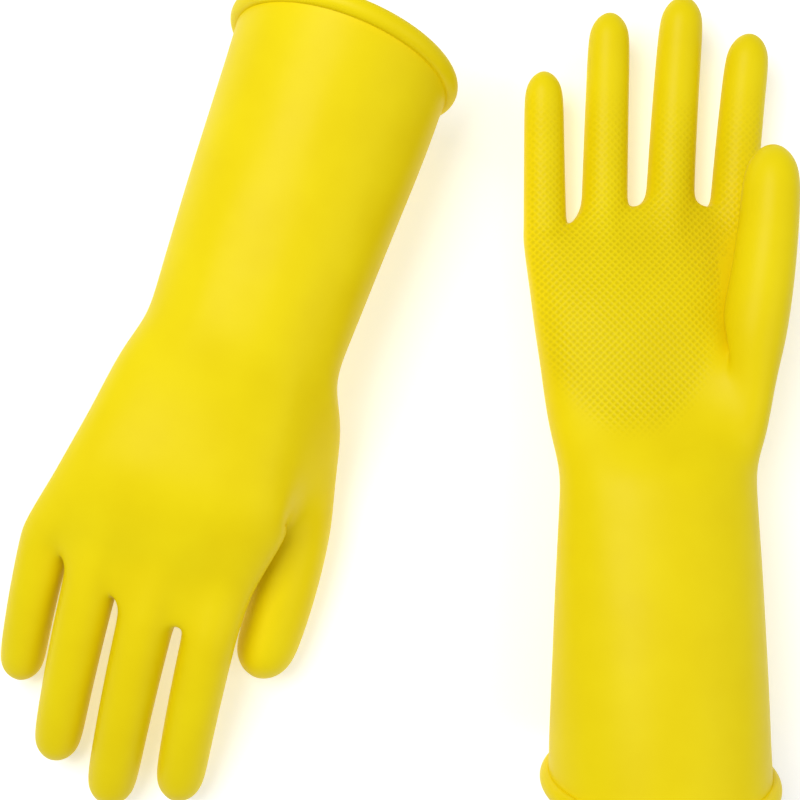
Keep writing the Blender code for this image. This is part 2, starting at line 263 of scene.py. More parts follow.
def step_up(values: np.ndarray, low: float, high: float) -> np.ndarray:
    """A smooth rise from 0 at low to 1 at high, for every value."""
    share = np.clip((values - low) / (high - low), 0.0, 1.0)
    return share * share * (3.0 - 2.0 * share)


class Layout:
    """Works out where the rings of one glove's sheet lie."""

    def __init__(self, posture: Posture) -> None:
        """Keeps the posture.

        Args:
            posture: how the glove lies.
        """
        self.posture = posture
        self.palm = float(posture.facing.value)
        self.palm_half_width = PALM_HALF_WIDTH * (1.0 + posture.fullness) / 2.0

    def own(self, u: float, v: float, w: float, height: float) -> Vector:
        """A point in the glove's frame, with the table at height zero."""
        return Vector((self.palm * u, v, height + self.palm * w))

    def gauntlet_ring(self, share: float) -> list[Vector]:
        """A ring of the gauntlet.

        Args:
            share: how far it is from the cuff (0) to the wrist (1).

        Returns:
            The ring's points, from the little finger's side over the palm.
        """
        posture = self.posture
        width = mix(CUFF_HALF_WIDTH, WRIST_HALF_WIDTH, share**1.25)
        depth = mix(CUFF_HALF_DEPTH, WRIST_HALF_DEPTH, share**1.15)
        height = mix(posture.cuff_height, posture.wrist_height, ease(share))
        lean = posture.cuff_lean * (1.0 - share) ** 2
        ring = []
        for column in range(COLUMNS):
            angle = math.radians(180.0 - 360.0 / COLUMNS * (column + 1.5))
            u = width * math.cos(angle) + posture.cuff_shift * (1.0 - share)
            w = depth * math.sin(angle)
            v = share * posture.wrist_reach + lean * -self.palm * w / depth
            ring.append(self.own(u, v, w, height))
        return ring

    def direction(self, root: Root, share: float) -> Vector:
        """The unit direction of a stall, a share of the way along it."""
        turn = math.radians(mix(root.turn[0], root.turn[1], share))
        rise = math.radians(mix(root.rise[0], root.rise[1], share))
        flat = math.cos(rise)
        return Vector((self.palm * math.sin(turn) * flat, math.cos(turn) * flat, math.sin(rise)))

    def stall_frame(
        self, finger: Finger, distance: float
    ) -> tuple[Vector, Vector, Vector, Vector]:
        """The frame of a stall at a distance from its root.

        Args:
            finger: the stall.
            distance: how far along its middle line, in millimetres.

        Returns:
            The centre, the direction, and the cross directions towards the thumb and the palm.
        """
        root = self.posture.roots[finger]
        length = STALLS[finger].length
        centre = self.own(root.u, root.v, 0.0, root.height)
        step = distance / PATH_STEPS
        for k in range(PATH_STEPS):
            centre += self.direction(root, (k + 0.5) * step / length) * step * root.stretch
        along = self.direction(root, distance / length)
        up = Vector((0.0, 0.0, 1.0))
        up = (up - along * up.dot(along)).normalized()
        palm = up * self.palm
        thumb = along.cross(up) * self.palm
        if finger is Finger.THUMB:
            turn = Matrix.Rotation(math.radians(THUMB_ROOT_TURN), 3, along)
            palm = turn @ palm
            thumb = turn @ thumb
        return centre, along, thumb, palm

    def stall_size(self, finger: Finger, distance: float) -> tuple[float, float]:
        """The half width and half depth of a stall at a distance from its root."""
        stall = STALLS[finger]
        round_end = 1.25 * stall.tip_width
        share = min(distance / (stall.length - round_end), 1.0)
        width = mix(stall.root_width, stall.tip_width, share)
        depth = mix(stall.root_depth, stall.tip_depth, share)
        left = max(stall.length - distance, 0.0) / round_end
        if left < 1.0:
            squeeze = math.sqrt(max(1.0 - (1.0 - left) ** 2, 0.0))
            width *= squeeze
            depth *= squeeze
        return width * self.posture.fullness, depth * self.posture.fullness

    def stall_ring(self, finger: Finger, distance: float) -> list[Vector]:
        """The twelve points around a stall at a distance from its root."""
        centre, _, thumb, palm = self.stall_frame(finger, distance)
        width, depth = self.stall_size(finger, distance)
        ring = []
        for angle in RING_ANGLES:
            a = math.radians(angle)
            ring.append(centre + thumb * width * math.cos(a) + palm * depth * math.sin(a))
        return ring

    def stall_cap(self, finger: Finger) -> list[Vector]:
        """The four points inside the last ring of a stall."""
        centre, _, thumb, palm = self.stall_frame(finger, STALLS[finger].length)
        reach = 0.16 * STALLS[finger].tip_width
        signs = ((-1, 1), (1, 1), (-1, -1), (1, -1))
        return [centre + thumb * reach * a + palm * reach * b for a, b in signs]

    def row_limits(self) -> tuple[float, float]:
        """The u of the row of stalls, from the little finger's side to the thumb's side."""
        low = self.posture.roots[Finger.LITTLE].u - STALLS[Finger.LITTLE].root_width
        high = self.posture.roots[Finger.INDEX].u + STALLS[Finger.INDEX].root_width
        return low, high

    def palm_ring(
        self, v: float, centre: float, half_width: float, half_depth: float, height: float
    ) -> list[Vector]:
        """The 36 points around the palm without the thumb, spread as the four stalls are.

        Args:
            v: how far from the cuff.
            centre: the u of its middle.
            half_width: half its width.
            half_depth: half its depth.
            height: the height of its middle over the table.

        Returns:
            The points: palm, thumb's side, back, and little finger's side.
        """
        low, high = self.row_limits()
        middle, half = (low + high) / 2.0, (high - low) / 2.0
        palm_row, back_row = [], []
        for finger in ROW_FINGERS:
            root = self.posture.roots[finger]
            for angle in PALM_SIDE:
                offset = STALLS[finger].root_width * math.cos(math.radians(angle))
                share = max(-0.97, min(0.97, (root.u + offset - middle) / half))
                u = centre + half_width * share
                w = half_depth * (1.0 - abs(share) ** 2.5) ** 0.4
                palm_row.append(self.own(u, v, w, height))
                back_row.append(self.own(u, v, -w, height))
        side = 0.26 * half_depth
        thumb_side = [self.own(centre + half_width, v, s * side, height) for s in (1, -1)]
        little_side = [self.own(centre - half_width, v, s * side, height) for s in (-1, 1)]
        return palm_row + thumb_side + list(reversed(back_row)) + little_side

    def upper_palm_ring(self, share: float, spread: float, lobes: float) -> list[Vector]:
        """A row between the thumb's crotch and the webs.

        Args:
            share: how far it is from the crotch (0) to the webs (1).
            spread: how much of the widening to the stalls' row it has.
            lobes: how much it already follows the four stalls.

        Returns:
            The row's 36 points.
        """
        low, high = self.row_limits()
        posture = self.posture
        ring = self.palm_ring(
            mix(CROTCH_REACH, KNUCKLE_REACH, share),
            mix(PALM_CENTRE, (low + high) / 2.0, spread),
            mix(self.palm_half_width, (high - low) / 2.0, spread),
            mix(PALM_HALF_DEPTH, KNUCKLE_HALF_DEPTH, share),
            mix(posture.crotch_height, posture.knuckle_height, spread),
        )
        for point, root in zip(ring, self.finger_roots()):
            point.x = mix(point.x, root.x, lobes)
            point.z = mix(point.z, root.z, lobes)
        return ring

    def finger_roots(self) -> list[Vector]:
        """The 36 outer points of the four stalls' first rings, in the palm's order."""
        rings = [self.stall_ring(finger, 0.0) for finger in ROW_FINGERS]
        palm = [p for ring in rings for p in ring[0:4]]
        back = [p for ring in reversed(rings) for p in ring[6:10]]
        return palm + rings[-1][4:6] + back + rings[0][10:12]

    def lower_palm_rings(self) -> list[list[Vector]]:
        """The rows from the wrist to the thumb's crotch, the last one at the crotch."""
        wrist = self.gauntlet_ring(1.0)
        palm = self.palm_ring(
            CROTCH_REACH,
            PALM_CENTRE,
            self.palm_half_width,
            PALM_HALF_DEPTH,
            self.posture.crotch_height,
        )
        thumb = self.stall_ring(Finger.THUMB, 0.0)
        crotch = palm[0:16] + thumb[0:10] + palm[18:36]
        rings = []
        for share, spread, passes in LOWER_PALM_ROWS:
            ring = evened([mix(a, b, spread) for a, b in zip(wrist, crotch)], passes)
            ring = filled(ring, DENT_PASSES)
            for point, low, high in zip(ring, wrist, crotch):
                point.y = mix(low.y, high.y, share)
            rings.append(ring)
        return rings + [crotch]

    def crotch_sides(self) -> tuple[list[Vector], list[Vector]]:
        """The two points of the palm's edge and the two of the thumb that face each other."""
        palm = self.palm_ring(
            CROTCH_REACH,
            PALM_CENTRE,
            self.palm_half_width,
            PALM_HALF_DEPTH,
            self.posture.crotch_height,
        )
        return palm[16:18], self.stall_ring(Finger.THUMB, 0.0)[10:12]


def clear_selection() -> None:
    """Leaves edit mode and deselects every object."""
    if bpy.context.object is not None and bpy.context.object.mode != "OBJECT":
        bpy.ops.object.mode_set(mode="OBJECT")
    bpy.ops.object.select_all(action="DESELECT")


def activate(obj: bpy.types.Object) -> None:
    """Makes obj the only selected object and the active one."""
    clear_selection()
    obj.select_set(True)
    bpy.context.view_layer.objects.active = obj


class Sheet:
    """A sheet of rubber that grows ring by ring in edit mode.

    The numbers that its methods take and give are vertex numbers, which stay as they are.
    """

    PATCHES = "patch"

    def __init__(self, name: str, ring: list[Vector]) -> None:
        """Starts the sheet with a bare ring.

        Args:
            name: the object's name.
            ring: the first ring's points, in millimetres.
        """
        clear_selection()
        bpy.ops.mesh.primitive_circle_add(vertices=len(ring), radius=0.04, fill_type="NOTHING")
        self.obj = bpy.context.object
        self.obj.name = name
        self.obj.data.name = name
        self.names: list[str] = []
        self.known_faces = 0
        bpy.ops.object.mode_set(mode="EDIT")
        bpy.ops.mesh.select_mode(type="EDGE")
        mesh = self._mesh()
        mesh.faces.layers.int.new(self.PATCHES)
        order = [mesh.verts[0]]
        edge = next(e for e in order[0].link_edges if e.other_vert(order[0]).index == 1)
        while len(order) < len(ring):
            order.append(edge.other_vert(order[-1]))
            edge = next(e for e in order[-1].link_edges if e is not edge)
        self.start = [vert.index for vert in order]
        self.place(self.start, ring)

    def _mesh(self) -> bmesh.types.BMesh:
        """The mesh being edited, with its numbers up to date."""
        mesh = bmesh.from_edit_mesh(self.obj.data)
        mesh.verts.ensure_lookup_table()
        mesh.verts.index_update()
        return mesh

    def _show(self) -> None:
        """Hands the mesh back to the operators."""
        bmesh.update_edit_mesh(self.obj.data)

    def place(self, numbers: list[int], points: list[Vector]) -> None:
        """Lays vertices on points, given in millimetres."""
        mesh = self._mesh()
        for number, point in zip(numbers, points):
            mesh.verts[number].co = point * MM
        self._show()

    def pick(self, runs: list[list[int]], closed: bool) -> None:
        """Selects the edges along runs of vertices, and nothing else.

        Args:
            runs: each run's vertices, in order.
            closed: whether each run's last vertex joins its first.
        """
        bpy.ops.mesh.select_all(action="DESELECT")
        mesh = self._mesh()
        for run in runs:
            ends = run + run[:1] if closed else run
            for a, b in zip(ends, ends[1:]):
                edge = mesh.edges.get((mesh.verts[a], mesh.verts[b]))
                if edge is None:
                    raise ValueError(f"{self.obj.name}: no edge from {a} to {b}")
                edge.select_set(True)
        self._show()

    def name_new_faces(self, patch: str) -> None:
        """Gives the faces made since the last call to a patch."""
        if patch not in self.names:
            self.names.append(patch)
        mesh = self._mesh()
        mesh.faces.ensure_lookup_table()
        layer = mesh.faces.layers.int[self.PATCHES]
        for face in mesh.faces[self.known_faces :]:
            face[layer] = self.names.index(patch) + 1
        self.known_faces = len(mesh.faces)
        self._show()

    def pull(self, patch: str, ring: list[int], points: list[Vector]) -> list[int]:
        """Extrudes a ring and lays the new one on points.

        Args:
            patch: the patch that the new faces belong to.
            ring: the vertices of the ring.
            points: where the new vertices go, in millimetres.

        Returns:
            The new ring's vertices, in the same order.
        """
        self.pick([ring], closed=True)
        old = set(ring)
        bpy.ops.mesh.extrude_region_move()
        mesh = self._mesh()
        picked = {vert.index for vert in mesh.verts if vert.select}
        new = []
        for number in ring:
            ends = [e.other_vert(mesh.verts[number]).index for e in mesh.verts[number].link_edges]
            new.append(next(n for n in ends if n in picked and n not in old))
        self.place(new, points)
        self.name_new_faces(patch)
        return new

    def rung(self, start: int, end: int, points: list[Vector]) -> list[int]:
        """Draws a bare chain of edges between two vertices, over points in between.

        Args:
            start: the vertex it starts at.
            end: the vertex it ends at.
            points: where its new vertices go, in order.

        Returns:
            The new vertices, in order.
        """
        bpy.ops.mesh.select_all(action="DESELECT")
        mesh = self._mesh()
        fresh = mesh.edges.new((mesh.verts[start], mesh.verts[end]))
        fresh.select_set(True)
        known = len(mesh.verts)
        self._show()
        bpy.ops.mesh.subdivide(number_cuts=len(points))
        mesh = self._mesh()
        chain, last = [], start
        while len(chain) < len(points):
            ends = [e.other_vert(mesh.verts[last]).index for e in mesh.verts[last].link_edges]
            last = next(n for n in ends if n >= known and n not in chain)
            chain.append(last)
        self.place(chain, points)
        return chain

    def join(self, patch: str, left: list[int], right: list[int]) -> None:
        """Closes the sheet between two rings."""
        self.pick([left, right], closed=True)
        bpy.ops.mesh.bridge_edge_loops()
        self.name_new_faces(patch)

    def web(self, patch: str, left: list[int], right: list[int]) -> None:
        """Closes the sheet between two facing runs of vertices, whose first ends are joined."""
        for k in range(len(left) - 1):
            self.pick([[left[k + 1], left[k], right[k], right[k + 1]]], closed=False)
            bpy.ops.mesh.edge_face_add()
        self.name_new_faces(patch)

    def cap(self, patch: str, ring: list[int], points: list[Vector]) -> None:
        """Fills a ring of twelve with nine faces and lays their inner points."""
        self.pick([ring], closed=True)
        known = len(self._mesh().verts)
        bpy.ops.mesh.fill_grid(span=3)
        mesh = self._mesh()
        inner = list(range(known, len(mesh.verts)))
        middle = sum((mesh.verts[n].co for n in inner), Vector()) / len(inner)
        goal = sum(points, Vector()) / len(points) * MM
        shifted = {n: mesh.verts[n].co + goal - middle for n in inner}
        left = list(points)
        for number in inner:
            nearest = min(left, key=lambda p: (p * MM - shifted[number]).length)
            left.remove(nearest)
            mesh.verts[number].co = nearest * MM
        self._show()
        self.name_new_faces(patch)

    def finish(self) -> None:
        """Turns every face outwards and leaves edit mode."""
        bpy.ops.mesh.select_all(action="SELECT")
        bpy.ops.mesh.normals_make_consistent(inside=False)
        bpy.ops.object.mode_set(mode="OBJECT")


@dataclass(frozen=True)
class GripPattern:
    """The embossed diagonal grip of the palm side."""

    pitch: float = 1.95
    depth: float = 0.22
    first_row: float = 122.0
    full_row: float = 136.0
    knuckle_row: float = 196.0
    finger_fade: float = 0.55
    facing: tuple[float, float] = (0.35, 0.8)
    last_full_row: float = 236.0
    end_row: float = 262.0


@dataclass(frozen=True)
class RubberFinish:
    """Dipped latex: a satin, slightly cloudy yellow skin."""

    name: str = "dipped_rubber"
    slot: str = "rubber"
    light: Colour = (0.900, 0.725, 0.003)
    deep: Colour = (0.865, 0.680, 0.002)
    # Painted shade: the darker colour laid into the grip's pits, where shade would fall.
    shaded_groove: Colour = (0.600, 0.455, 0.000)
    roughness: float = 0.40
    grip: GripPattern | None = field(default_factory=GripPattern)


@dataclass(frozen=True)
class LiningFinish:
    """The thin flock lining inside the glove."""

    name: str = "flock_lining"
    light: Colour = (0.930, 0.800, 0.250)
    deep: Colour = (0.850, 0.700, 0.150)


class NodeBoard:
    """Lays out the nodes of one material."""

    def __init__(self, name: str) -> None:
        """Starts a material.

        Args:
            name: the material's name.
        """
        self.material = bpy.data.materials.new(name)
        self.material.use_nodes = True
        self.tree = self.material.node_tree
        self.shader = self.tree.nodes["Principled BSDF"]

    def add(self, kind: str, **settings: object) -> bpy.types.Node:
        """Adds a node and sets its properties."""
        node = self.tree.nodes.new(kind)
        for key, value in settings.items():
            setattr(node, key, value)
        return node

    def wire(self, source: Socket, target: Socket) -> None:
        """Joins an output socket to an input socket."""
        self.tree.links.new(source, target)

    def math(
        self, operation: str, first: Socket | float, second: Socket | float | None = None
    ) -> Socket:
        """A sum on sockets or numbers.

        Args:
            operation: Blender's name of the operation.
            first: a socket or a number.
            second: a socket, a number or nothing.

        Returns:
            The result's socket.
        """
        node = self.add("ShaderNodeMath", operation=operation)
        for socket, value in zip(node.inputs, (first, second)):
            if isinstance(value, Socket):
                self.wire(value, socket)
            elif value is not None:
                socket.default_value = value
        return node.outputs[0]

    def noise(self, vector: Socket, scale: float, detail: float) -> Socket:
        """A noise of a given scale on a vector, from 0 to 1."""
        node = self.add("ShaderNodeTexNoise")
        node.inputs["Scale"].default_value = scale
        node.inputs["Detail"].default_value = detail
        self.wire(vector, node.inputs["Vector"])
        return node.outputs["Fac"]

    def blend(self, share: Socket, first: Socket | Colour, second: Socket | Colour) -> Socket:
        """Mixes two colours, each a socket or an (r, g, b)."""
        node = self.add("ShaderNodeMix", data_type="RGBA")
        self.wire(share, node.inputs["Factor"])
        for socket, value in ((node.inputs[6], first), (node.inputs[7], second)):
            if isinstance(value, Socket):
                self.wire(value, socket)
            else:
                socket.default_value = (*value, 1.0)
        return node.outputs[2]

    def ramp(self, value: Socket, low: float, high: float) -> Socket:
        """Stretches a value so that low becomes 0 and high becomes 1."""
        node = self.add("ShaderNodeMapRange")
        node.inputs["From Min"].default_value = low
        node.inputs["From Max"].default_value = high
        self.wire(value, node.inputs["Value"])
        return node.outputs["Result"]


def rubber_material(finish: RubberFinish) -> bpy.types.Material:
    """Builds the skin of dipped rubber.

    Args:
        finish: its colours, the painted shade of its grip's pits, its roughness and its grip.

    Returns:
        The material.
    """
    board = NodeBoard(finish.name)
    place = board.add("ShaderNodeTexCoord").outputs["Object"]
    cloud = board.ramp(board.noise(place, 34.0, 3.0), 0.32, 0.68)
    colour = board.blend(cloud, finish.light, finish.deep)

    skin = board.noise(place, 900.0, 2.0)
    swell = board.noise(place, 120.0, 2.0)
    skin = board.math("MULTIPLY", skin, SKIN_RELIEF)
    swell = board.math("MULTIPLY", swell, SWELL_RELIEF)
    height = board.math("ADD", skin, swell)
    if finish.grip is not None:
        grip = finish.grip
        mark = board.add("ShaderNodeAttribute", attribute_name="grip")
        split = board.add("ShaderNodeSeparateXYZ")
        board.wire(mark.outputs["Vector"], split.inputs["Vector"])
        u, v, mask = split.outputs
        turns = math.pi / grip.pitch / math.sqrt(2.0)
        waves = []
        for operation in ("ADD", "SUBTRACT"):
            along = board.math("MULTIPLY", board.math(operation, u, v), turns)
            waves.append(board.math("ABSOLUTE", board.math("SINE", along)))
        # The grip's grooves, used both for the bump's relief and for the painted shade in its
        # pits.
        shaded_groove = board.math("MULTIPLY", waves[0], waves[1])
        shaded_groove = board.math("POWER", shaded_groove, 1.3)
        pit_and_shade = board.math("MULTIPLY", shaded_groove, mask)
        height = board.math("SUBTRACT", height, board.math("MULTIPLY", pit_and_shade, grip.depth))
        # Painted shade: the pits are darkened in colour as well as sunk by the bump.
        colour = board.blend(board.math("MULTIPLY", pit_and_shade, 0.50), colour, finish.shaded_groove)
    board.wire(colour, board.shader.inputs["Base Color"])

    patch = board.ramp(board.noise(place, 60.0, 3.0), 0.3, 0.7)
    rough = board.math("ADD", board.math("MULTIPLY", patch, 0.07), finish.roughness)
    board.wire(rough, board.shader.inputs["Roughness"])
    bump = board.add("ShaderNodeBump")
    bump.inputs["Strength"].default_value = 1.0
    bump.inputs["Distance"].default_value = MM
    board.wire(height, bump.inputs["Height"])
    board.wire(bump.outputs["Normal"], board.shader.inputs["Normal"])
    board.shader.inputs["Metallic"].default_value = 0.0
    board.shader.inputs["IOR"].default_value = 1.45
    board.shader.inputs["Specular IOR Level"].default_value = 0.15
    return board.material


def lining_material(finish: LiningFinish) -> bpy.types.Material:
    """Builds the soft flock of the inside.

    Args:
        finish: its colours.

    Returns:
        The material.
    """
    board = NodeBoard(finish.name)
    place = board.add("ShaderNodeTexCoord").outputs["Object"]
    tuft = board.ramp(board.noise(place, 1600.0, 3.0), 0.35, 0.65)
    board.wire(board.blend(tuft, finish.light, finish.deep), board.shader.inputs["Base Color"])
    bump = board.add("ShaderNodeBump")
    bump.inputs["Distance"].default_value = 0.15 * MM
    board.wire(tuft, bump.inputs["Height"])
    board.wire(bump.outputs["Normal"], board.shader.inputs["Normal"])
    board.shader.inputs["Roughness"].default_value = 0.95
    board.shader.inputs["Specular IOR Level"].default_value = 0.1
    return board.material


@dataclass
class CuffBead:
    """The rolled edge of a cuff."""

    name: str
    rim: list[Vector]
    radius: float = 2.9
    gap: float = 0.3
    lap: float = 0.9
    sides: int = 12
    material: bpy.types.Material | None = None

    def section(self, angle: float) -> list[Vector]:
        """The ring at one angle around the roll, from the outside towards the sleeve."""
        count = len(self.rim)
        middle = sum(self.rim, Vector()) / count
        points = []
        for k, place in enumerate(self.rim):
            side = self.rim[(k + 1) % count] - self.rim[k - 1]
            out = Vector((side.z, 0.0, -side.x)).normalized()
            if out.dot(place - middle) < 0.0:
                out = -out
            retreat = self.radius + self.gap - self.lap / 2.0
            centre = place + out * 0.4 - Vector((0.0, retreat, 0.0))
            reach = self.radius * 1.04
            length = reach + 0.22 + self.lap / 2.0
            points.append(
                centre
                + out * reach * math.cos(angle)
                + Vector((0.0, length * math.sin(angle), 0.0))
            )
        return points

    def build(self) -> bpy.types.Object:
        """Rolls the bead around the cuff.

        Returns:
            The finished object, in the glove's frame.
        """
        angles = [2.0 * math.pi * (k + 0.5) / self.sides for k in range(self.sides)]
        sheet = Sheet(self.name, self.section(angles[0]))
        ring = sheet.start
        for angle in angles[1:]:
            ring = sheet.pull("roll", ring, self.section(angle))
        sheet.join("roll", ring, sheet.start)
        sheet.finish()
        obj = sheet.obj
        obj.data.materials.append(self.material)
        smooth(obj, 2)
        bpy.ops.object.shade_smooth()
        return obj


def smooth(obj: bpy.types.Object, levels: int) -> None:
    """Applies a subdivision surface of that many levels."""
    activate(obj)
    modifier = obj.modifiers.new("smooth", "SUBSURF")
    modifier.levels = levels
    modifier.render_levels = levels
    modifier.use_limit_surface = True
    bpy.ops.object.modifier_apply(modifier=modifier.name)


def mesh_points(obj: bpy.types.Object) -> np.ndarray:
    """The vertices of a mesh, one row each."""
    flat = np.zeros(len(obj.data.vertices) * 3, np.float32)
    obj.data.vertices.foreach_get("co", flat)
    return flat.reshape(-1, 3)


def mesh_normals(obj: bpy.types.Object) -> np.ndarray:
    """The vertex normals of a mesh, one row each."""
    flat = np.zeros(len(obj.data.vertices) * 3, np.float32)
    obj.data.vertex_normals.foreach_get("vector", flat)
    return flat.reshape(-1, 3)


def keep_vectors(obj: bpy.types.Object, name: str, rows: np.ndarray) -> None:
    """Stores one vector for each vertex under a name."""
    layer = obj.data.attributes.new(name, "FLOAT_VECTOR", "POINT")
    layer.data.foreach_set("vector", rows.astype(np.float32).ravel())


@dataclass
class Glove:
    """One glove: its sheet, its bead and the pieces that it is divided into."""

    name: str
    posture: Posture
    rubber: bpy.types.Material
    bead_rubber: bpy.types.Material
    lining: bpy.types.Material
    wrinkle: float = 0.35

    def __post_init__(self) -> None:
        """Prepares the layout and the glove's place on the table."""
        self.layout = Layout(self.posture)
        turn = Matrix.Rotation(math.radians(self.posture.heading), 4, "Z")
        self.place = Matrix.Translation(Vector(self.posture.place) * MM) @ turn
        self.patches: list[str] = []

    def on_table(self, point: Vector) -> Vector:
        """A point of the glove's frame, in millimetres, as a point on the table, in metres."""
        return self.place @ (point * MM)

    def draw_sheet(self) -> bpy.types.Object:
        """Draws the whole sheet, from the cuff to the fingertips.

        Returns:
            The bare sheet, in the glove's frame.
        """
        layout = self.layout
        sheet = Sheet(self.name + "_film", layout.gauntlet_ring(0.0))
        ring = sheet.start
        for share in GAUNTLET_ROWS:
            ring = sheet.pull("gauntlet", ring, layout.gauntlet_ring(share))
        for points in [layout.gauntlet_ring(1.0)] + layout.lower_palm_rings():
            ring = sheet.pull("hand", ring, points)

        palm_edge, thumb_edge = layout.crotch_sides()
        palm_rung = sheet.rung(ring[15], ring[26], palm_edge)
        thumb_rung = sheet.rung(ring[16], ring[25], [thumb_edge[1], thumb_edge[0]])
        sheet.web(
            "hand", [ring[15]] + palm_rung + [ring[26]], [ring[16]] + thumb_rung + [ring[25]]
        )
        thumb_ring = ring[16:26] + list(reversed(thumb_rung))

        ring = ring[0:16] + palm_rung + ring[26:44]
        for row in UPPER_PALM_ROWS:
            ring = sheet.pull("hand", ring, layout.upper_palm_ring(*row))
        ring = sheet.pull("hand", ring, layout.finger_roots())
        rings = self.split_fingers(sheet, ring)
        rings[Finger.THUMB] = thumb_ring
        for finger in Finger:
            self.draw_stall(sheet, finger, rings[finger])
        sheet.finish()
        self.patches = sheet.names
        return sheet.obj

    def split_fingers(self, sheet: Sheet, row: list[int]) -> dict[Finger, list[int]]:
        """Draws the webs between the stalls.

        Args:
            sheet: the sheet being drawn.
            row: the ring around all four roots.

        Returns:
            The root ring of each stall.
        """
        rings = {}
        for k, finger in enumerate(ROW_FINGERS):
            points = self.layout.stall_ring(finger, 0.0)
            palm = row[4 * k : 4 * k + 4]
            back = row[30 - 4 * k : 34 - 4 * k]
            if finger is Finger.INDEX:
                thumb_side = row[16:18]
            else:
                thumb_side = sheet.rung(palm[3], back[0], points[4:6])
            if finger is Finger.LITTLE:
                little_side = row[34:36]
            else:
                little_side = sheet.rung(back[3], palm[0], points[10:12])
            rings[finger] = palm + thumb_side + back + little_side
        for left, right in zip(ROW_FINGERS, ROW_FINGERS[1:]):
            a, b = rings[left], rings[right]
            sheet.web("hand", a[3:7], [b[0], b[11], b[10], b[9]])
        return rings

    def draw_stall(self, sheet: Sheet, finger: Finger, ring: list[int]) -> None:
        """Draws one stall from its root ring to its closed tip."""
        stall = STALLS[finger]
        round_end = 1.25 * stall.tip_width
        base_middle = (stall.base_bend + stall.tip_bend) / 2.0
        tip_middle = (stall.tip_bend + stall.length - round_end) / 2.0
        for distance in (stall.base_bend, base_middle):
            ring = sheet.pull(
                finger.value + "_base", ring, self.layout.stall_ring(finger, distance)
            )
        for distance in (
            stall.tip_bend,
            tip_middle,
            stall.length - round_end,
            stall.length - 0.5 * round_end,
            stall.length - 0.14 * round_end,
        ):
            points = self.layout.stall_ring(finger, distance)
            ring = sheet.pull(finger.value + "_tip", ring, points)
        sheet.cap(finger.value + "_tip", ring, self.layout.stall_cap(finger))

    def soften(self, obj: bpy.types.Object) -> None:
        """Gives the smooth sheet the slight unevenness of soft rubber and marks its grip."""
        points = mesh_points(obj)
        normals = mesh_normals(obj)
        sleeve = step_up(points[:, 1] / MM, 2.0, 14.0)
        sleeve *= 1.0 - step_up(points[:, 1] / MM, 120.0, 165.0)
        waves = np.zeros(len(points), np.float32)
        seed = Vector((self.posture.heading * 0.1, 3.7, 1.3))
        for k, point in enumerate(points):
            if sleeve[k] > 0.0:
                low = Vector((point[0] * 42.0, point[1] * 13.0, point[2] * 42.0)) + seed
                waves[k] = noise.noise(low) + 0.35 * noise.noise(low * 2.3)
        shift = (waves * sleeve * self.wrinkle * MM)[:, None] * normals
        obj.data.vertices.foreach_set("co", (points + shift).astype(np.float32).ravel())
        obj.data.update()
        keep_vectors(obj, "grip", self.grip_marks(points, normals[:, 2] * self.layout.palm))
        keep_vectors(obj, "outward", mesh_normals(obj))

    def grip_marks(self, points: np.ndarray, out_of_palm: np.ndarray) -> np.ndarray:
        """Where the grip is and how strong.

        Args:
            points: the sheet's vertices, one row each, in metres.
            out_of_palm: how far each vertex faces out of the palm, from -1 to 1.

        Returns:
            One row of u, v and the grip's strength for each vertex.
        """
        grip = GripPattern()
        u = points[:, 0] * self.layout.palm / MM
        v = points[:, 1] / MM
        mask = step_up(v, grip.first_row, grip.full_row)
        mask *= 1.0 - step_up(v, grip.last_full_row, grip.end_row)
        mask *= 1.0 - grip.finger_fade * step_up(v, grip.knuckle_row, grip.last_full_row)
        mask *= step_up(out_of_palm, *grip.facing)

        near_thumb = mix(17.0, 30.0, np.clip((v - 140.0) / 50.0, 0.0, 1.0))
        below_index = 1.0 - step_up(v, 196.0, 206.0)
        mask *= 1.0 - below_index * step_up(u - near_thumb, -9.0, 3.0)

        knuckles = self.posture.knuckle_height
        thumb = (self.posture.roots[Finger.THUMB].height - knuckles) * self.layout.palm
        over = (points[:, 2] / MM - knuckles) * self.layout.palm
        mask *= np.where((v > 150.0) & (u > 24.0) & (over > thumb * 0.5), 0.0, 1.0)

        low_corner = np.clip((v - 118.0) / 40.0, 0.0, 1.0) * 34.0
        mask *= 1.0 - step_up(np.abs(u + 10.0) - low_corner, -4.0, 10.0) * (v < 170.0)
        return np.stack([u, v, mask], axis=1)

    def cut_piece(
        self, source: bpy.types.Object, name: str, patches: tuple[str, ...]
    ) -> bpy.types.Object:
        """Cuts one piece out of the smooth sheet and gives it its wall and its lining.

        Args:
            source: the whole smooth sheet.
            name: the piece's name.
            patches: the patches that it keeps.

        Returns:
            The piece, on the table.
        """
        obj = source.copy()
        obj.data = source.data.copy()
        obj.name = name
        obj.data.name = name
        bpy.context.scene.collection.objects.link(obj)
        kept = {self.patches.index(patch) + 1 for patch in patches}
        activate(obj)
        bpy.ops.object.mode_set(mode="EDIT")
        bpy.ops.mesh.select_mode(type="FACE")
        bpy.ops.mesh.select_all(action="DESELECT")
        mesh = bmesh.from_edit_mesh(obj.data)
        layer = mesh.faces.layers.int[Sheet.PATCHES]
        for face in mesh.faces:
            face.select_set(face[layer] not in kept)
        bmesh.update_edit_mesh(obj.data)
        bpy.ops.mesh.delete(type="FACE")
        bpy.ops.object.mode_set(mode="OBJECT")
        obj.data.materials.append(self.rubber)
        obj.data.materials.append(self.lining)
        wall = obj.modifiers.new("wall", "SOLIDIFY")
        wall.thickness = WALL * MM
        wall.offset = -1.0
        wall.use_quality_normals = True
        wall.material_offset = 1
        wall.material_offset_rim = 0
        bpy.ops.object.modifier_apply(modifier=wall.name)
        bpy.ops.object.shade_smooth()
        self.even_shading(obj)
        obj.data.transform(self.place)
        return obj

